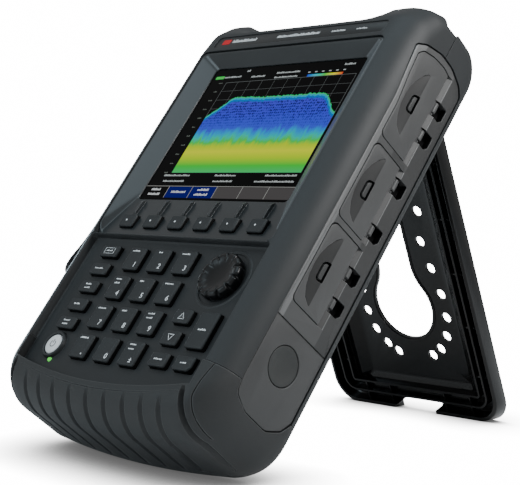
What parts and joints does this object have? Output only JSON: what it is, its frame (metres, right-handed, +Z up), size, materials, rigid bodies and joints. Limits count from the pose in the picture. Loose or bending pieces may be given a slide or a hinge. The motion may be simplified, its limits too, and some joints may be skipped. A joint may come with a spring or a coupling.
{
  "type": "handheld vector network analyzer",
  "caption": "Handheld radio-frequency analyser with a colour display, keypad and knob, side doors, battery bay and hand strap, leaning on its fold-out rear stand.",
  "frame": {"origin": "middle of the bounding box on the floor, with the stand open", "axes": "+X to the right seen from the front, +Y from the front towards the stand, +Z up; the casing leans back 38.6 degrees from upright"},
  "size_m": [0.202, 0.2944, 0.2628],
  "materials": {
    "access_door_1": "fine moulded texture, mid grey",
    "access_door_2": "fine moulded texture, mid grey",
    "access_door_3": "fine moulded texture, mid grey",
    "back_key": "silicone rubber, printed legends",
    "bail_stand": "glossy black",
    "battery_cover": "fine moulded texture, mid grey",
    "battery_pack": "plain black",
    "battery_release_button": "fine moulded texture, mid grey",
    "bottom_bumper": "soft matt over-moulding",
    "display_bezel": "satin moulded grey",
    "display_window": "hard-coated clear",
    "door_hinge_rod": "drawn wire",
    "down_key": "silicone rubber, printed legends",
    "enter_key": "silicone rubber, printed legends",
    "esc_key": "silicone rubber, printed legends",
    "front_shell": "fine moulded texture, dark blue-grey",
    "function_key_1": "silicone rubber, printed legends",
    "function_key_2": "silicone rubber, printed legends",
    "function_key_3": "silicone rubber, printed legends",
    "function_key_4": "silicone rubber, printed legends",
    "function_key_5": "silicone rubber, printed legends",
    "gps_connector": "nickel plated",
    "hand_strap": "woven webbing",
    "keypad_mat": "plain silicone rubber",
    "knob": "soft-touch black",
    "lcd_panel": "lit liquid-crystal panel",
    "left_side_panel": "fine moulded texture, mid grey",
    "main_board": "glass-fibre circuit board",
    "number_key_0": "silicone rubber, printed legends",
    "number_key_1": "silicone rubber, printed legends",
    "number_key_2": "silicone rubber, printed legends",
    "number_key_3": "silicone rubber, printed legends",
    "number_key_4": "silicone rubber, printed legends",
    "number_key_5": "silicone rubber, printed legends",
    "number_key_6": "silicone rubber, printed legends",
    "number_key_7": "silicone rubber, printed legends",
    "number_key_8": "silicone rubber, printed legends",
    "number_key_9": "silicone rubber, printed legends",
    "number_key_point": "silicone rubber, printed legends",
    "number_key_sign": "silicone rubber, printed legends",
    "power_button": "silver-white satin",
    "rear_shell": "fine moulded texture, dark blue-grey",
    "rf_module": "plain",
    "rf_port_1": "nickel plated",
    "rf_port_2": "nickel plated",
    "right_side_panel": "fine moulded texture, mid grey",
    "rotary_encoder": "plain",
    "softkey_1": "silicone rubber, printed legends",
    "softkey_2": "silicone rubber, printed legends",
    "softkey_3": "silicone rubber, printed legends",
    "softkey_4": "silicone rubber, printed legends",
    "softkey_5": "silicone rubber, printed legends",
    "softkey_6": "silicone rubber, printed legends",
    "stand_pin_left": "drawn wire",
    "stand_pin_right": "drawn wire",
    "status_lens": "translucent green",
    "strap_anchor_lower": "black moulded",
    "strap_anchor_upper": "black moulded",
    "up_key": "silicone rubber, printed legends"
  },
  "bodies": {
    "casing": {"bottom_bumper": "bottom_bumper", "display_bezel": "display_bezel", "display_window": "display_window", "door_hinge_rod": "door_hinge_rod", "front_shell": "front_shell", "gps_connector": "gps_connector", "hand_strap": "hand_strap", "keypad_mat": "keypad_mat", "lcd_panel": "lcd_panel", "left_side_panel": "left_side_panel", "main_board": "main_board", "rear_shell": "rear_shell", "rf_module": "rf_module", "rf_port_1": "rf_port_1", "rf_port_2": "rf_port_2", "right_side_panel": "right_side_panel", "rotary_encoder": "rotary_encoder", "stand_pin_left": "stand_pin_left", "stand_pin_right": "stand_pin_right", "status_lens": "status_lens", "strap_anchor_lower": "strap_anchor_lower", "strap_anchor_upper": "strap_anchor_upper"},
    "back_key": {"back_key": "back_key"},
    "down_key": {"down_key": "down_key"},
    "enter_key": {"enter_key": "enter_key"},
    "esc_key": {"esc_key": "esc_key"},
    "function_key_1": {"function_key_1": "function_key_1"},
    "function_key_2": {"function_key_2": "function_key_2"},
    "function_key_3": {"function_key_3": "function_key_3"},
    "function_key_4": {"function_key_4": "function_key_4"},
    "function_key_5": {"function_key_5": "function_key_5"},
    "number_key_0": {"number_key_0": "number_key_0"},
    "number_key_1": {"number_key_1": "number_key_1"},
    "number_key_2": {"number_key_2": "number_key_2"},
    "number_key_3": {"number_key_3": "number_key_3"},
    "number_key_4": {"number_key_4": "number_key_4"},
    "number_key_5": {"number_key_5": "number_key_5"},
    "number_key_6": {"number_key_6": "number_key_6"},
    "number_key_7": {"number_key_7": "number_key_7"},
    "number_key_8": {"number_key_8": "number_key_8"},
    "number_key_9": {"number_key_9": "number_key_9"},
    "number_key_point": {"number_key_point": "number_key_point"},
    "number_key_sign": {"number_key_sign": "number_key_sign"},
    "softkey_1": {"softkey_1": "softkey_1"},
    "softkey_2": {"softkey_2": "softkey_2"},
    "softkey_3": {"softkey_3": "softkey_3"},
    "softkey_4": {"softkey_4": "softkey_4"},
    "softkey_5": {"softkey_5": "softkey_5"},
    "softkey_6": {"softkey_6": "softkey_6"},
    "up_key": {"up_key": "up_key"},
    "power_button": {"power_button": "power_button"},
    "knob": {"knob": "knob"},
    "access_door_1": {"access_door_1": "access_door_1"},
    "access_door_2": {"access_door_2": "access_door_2"},
    "access_door_3": {"access_door_3": "access_door_3"},
    "battery_cover": {"battery_cover": "battery_cover"},
    "battery_release_button": {"battery_release_button": "battery_release_button"},
    "battery_pack": {"battery_pack": "battery_pack"},
    "bail_stand": {"bail_stand": "bail_stand"}
  },
  "joints": [
    {"name": "back_key_press", "type": "slide", "parent": "casing", "child": "back_key", "axis": [0, 0.7815, -0.6239], "range_m": [0, 0.0012], "stiffness_N_per_m": 400},
    {"name": "down_key_press", "type": "slide", "parent": "casing", "child": "down_key", "axis": [0, 0.7815, -0.6239], "range_m": [0, 0.0012], "stiffness_N_per_m": 400},
    {"name": "enter_key_press", "type": "slide", "parent": "casing", "child": "enter_key", "axis": [0, 0.7815, -0.6239], "range_m": [0, 0.0012], "stiffness_N_per_m": 400},
    {"name": "esc_key_press", "type": "slide", "parent": "casing", "child": "esc_key", "axis": [0, 0.7815, -0.6239], "range_m": [0, 0.0012], "stiffness_N_per_m": 400},
    {"name": "function_key_1_press", "type": "slide", "parent": "casing", "child": "function_key_1", "axis": [0, 0.7815, -0.6239], "range_m": [0, 0.0012], "stiffness_N_per_m": 400},
    {"name": "function_key_2_press", "type": "slide", "parent": "casing", "child": "function_key_2", "axis": [0, 0.7815, -0.6239], "range_m": [0, 0.0012], "stiffness_N_per_m": 400},
    {"name": "function_key_3_press", "type": "slide", "parent": "casing", "child": "function_key_3", "axis": [0, 0.7815, -0.6239], "range_m": [0, 0.0012], "stiffness_N_per_m": 400},
    {"name": "function_key_4_press", "type": "slide", "parent": "casing", "child": "function_key_4", "axis": [0, 0.7815, -0.6239], "range_m": [0, 0.0012], "stiffness_N_per_m": 400},
    {"name": "function_key_5_press", "type": "slide", "parent": "casing", "child": "function_key_5", "axis": [0, 0.7815, -0.6239], "range_m": [0, 0.0012], "stiffness_N_per_m": 400},
    {"name": "number_key_0_press", "type": "slide", "parent": "casing", "child": "number_key_0", "axis": [0, 0.7815, -0.6239], "range_m": [0, 0.0012], "stiffness_N_per_m": 400},
    {"name": "number_key_1_press", "type": "slide", "parent": "casing", "child": "number_key_1", "axis": [0, 0.7815, -0.6239], "range_m": [0, 0.0012], "stiffness_N_per_m": 400},
    {"name": "number_key_2_press", "type": "slide", "parent": "casing", "child": "number_key_2", "axis": [0, 0.7815, -0.6239], "range_m": [0, 0.0012], "stiffness_N_per_m": 400},
    {"name": "number_key_3_press", "type": "slide", "parent": "casing", "child": "number_key_3", "axis": [0, 0.7815, -0.6239], "range_m": [0, 0.0012], "stiffness_N_per_m": 400},
    {"name": "number_key_4_press", "type": "slide", "parent": "casing", "child": "number_key_4", "axis": [0, 0.7815, -0.6239], "range_m": [0, 0.0012], "stiffness_N_per_m": 400},
    {"name": "number_key_5_press", "type": "slide", "parent": "casing", "child": "number_key_5", "axis": [0, 0.7815, -0.6239], "range_m": [0, 0.0012], "stiffness_N_per_m": 400},
    {"name": "number_key_6_press", "type": "slide", "parent": "casing", "child": "number_key_6", "axis": [0, 0.7815, -0.6239], "range_m": [0, 0.0012], "stiffness_N_per_m": 400},
    {"name": "number_key_7_press", "type": "slide", "parent": "casing", "child": "number_key_7", "axis": [0, 0.7815, -0.6239], "range_m": [0, 0.0012], "stiffness_N_per_m": 400},
    {"name": "number_key_8_press", "type": "slide", "parent": "casing", "child": "number_key_8", "axis": [0, 0.7815, -0.6239], "range_m": [0, 0.0012], "stiffness_N_per_m": 400},
    {"name": "number_key_9_press", "type": "slide", "parent": "casing", "child": "number_key_9", "axis": [0, 0.7815, -0.6239], "range_m": [0, 0.0012], "stiffness_N_per_m": 400},
    {"name": "number_key_point_press", "type": "slide", "parent": "casing", "child": "number_key_point", "axis": [0, 0.7815, -0.6239], "range_m": [0, 0.0012], "stiffness_N_per_m": 400},
    {"name": "number_key_sign_press", "type": "slide", "parent": "casing", "child": "number_key_sign", "axis": [0, 0.7815, -0.6239], "range_m": [0, 0.0012], "stiffness_N_per_m": 400},
    {"name": "softkey_1_press", "type": "slide", "parent": "casing", "child": "softkey_1", "axis": [0, 0.7815, -0.6239], "range_m": [0, 0.0012], "stiffness_N_per_m": 400},
    {"name": "softkey_2_press", "type": "slide", "parent": "casing", "child": "softkey_2", "axis": [0, 0.7815, -0.6239], "range_m": [0, 0.0012], "stiffness_N_per_m": 400},
    {"name": "softkey_3_press", "type": "slide", "parent": "casing", "child": "softkey_3", "axis": [0, 0.7815, -0.6239], "range_m": [0, 0.0012], "stiffness_N_per_m": 400},
    {"name": "softkey_4_press", "type": "slide", "parent": "casing", "child": "softkey_4", "axis": [0, 0.7815, -0.6239], "range_m": [0, 0.0012], "stiffness_N_per_m": 400},
    {"name": "softkey_5_press", "type": "slide", "parent": "casing", "child": "softkey_5", "axis": [0, 0.7815, -0.6239], "range_m": [0, 0.0012], "stiffness_N_per_m": 400},
    {"name": "softkey_6_press", "type": "slide", "parent": "casing", "child": "softkey_6", "axis": [0, 0.7815, -0.6239], "range_m": [0, 0.0012], "stiffness_N_per_m": 400},
    {"name": "up_key_press", "type": "slide", "parent": "casing", "child": "up_key", "axis": [0, 0.7815, -0.6239], "range_m": [0, 0.0012], "stiffness_N_per_m": 400},
    {"name": "power_button_press", "type": "slide", "parent": "casing", "child": "power_button", "axis": [0, 0.7815, -0.6239], "range_m": [0, 0.0012], "stiffness_N_per_m": 500},
    {"name": "knob_turn", "type": "hinge", "parent": "casing", "child": "knob", "pos_m": [0.0596, -0.09707, 0.11085], "axis": [0, 0.7815, -0.6239], "continuous": true},
    {"name": "access_door_1_hinge", "type": "hinge", "parent": "casing", "child": "access_door_1", "pos_m": [0.0977, 0.01304, 0.16896], "axis": [0, 0.6239, 0.7815], "range_deg": [0, 110]},
    {"name": "access_door_2_hinge", "type": "hinge", "parent": "casing", "child": "access_door_2", "pos_m": [0.0977, -0.02227, 0.12472], "axis": [0, 0.6239, 0.7815], "range_deg": [0, 110]},
    {"name": "access_door_3_hinge", "type": "hinge", "parent": "casing", "child": "access_door_3", "pos_m": [0.0977, -0.05758, 0.08049], "axis": [0, 0.6239, 0.7815], "range_deg": [0, 110]},
    {"name": "battery_cover_slide", "type": "slide", "parent": "casing", "child": "battery_cover", "axis": [1, 0, 0], "range_m": [0, 0.045]},
    {"name": "battery_pack_slide", "type": "slide", "parent": "casing", "child": "battery_pack", "axis": [1, 0, 0], "range_m": [0, 0.045]},
    {"name": "battery_release_press", "type": "slide", "parent": "battery_cover", "child": "battery_release_button", "axis": [-1, 0, 0], "range_m": [0, 0.001], "stiffness_N_per_m": 400},
    {"name": "stand_hinge", "type": "hinge", "parent": "casing", "child": "bail_stand", "pos_m": [0.007, 0.06252, 0.20674], "axis": [1, 0, 0], "range_deg": [-59.6, 0]}
  ],
  "couplings": [
    {"joint": "battery_pack_slide", "follows": "battery_cover_slide", "ratio": 1}
  ]
}
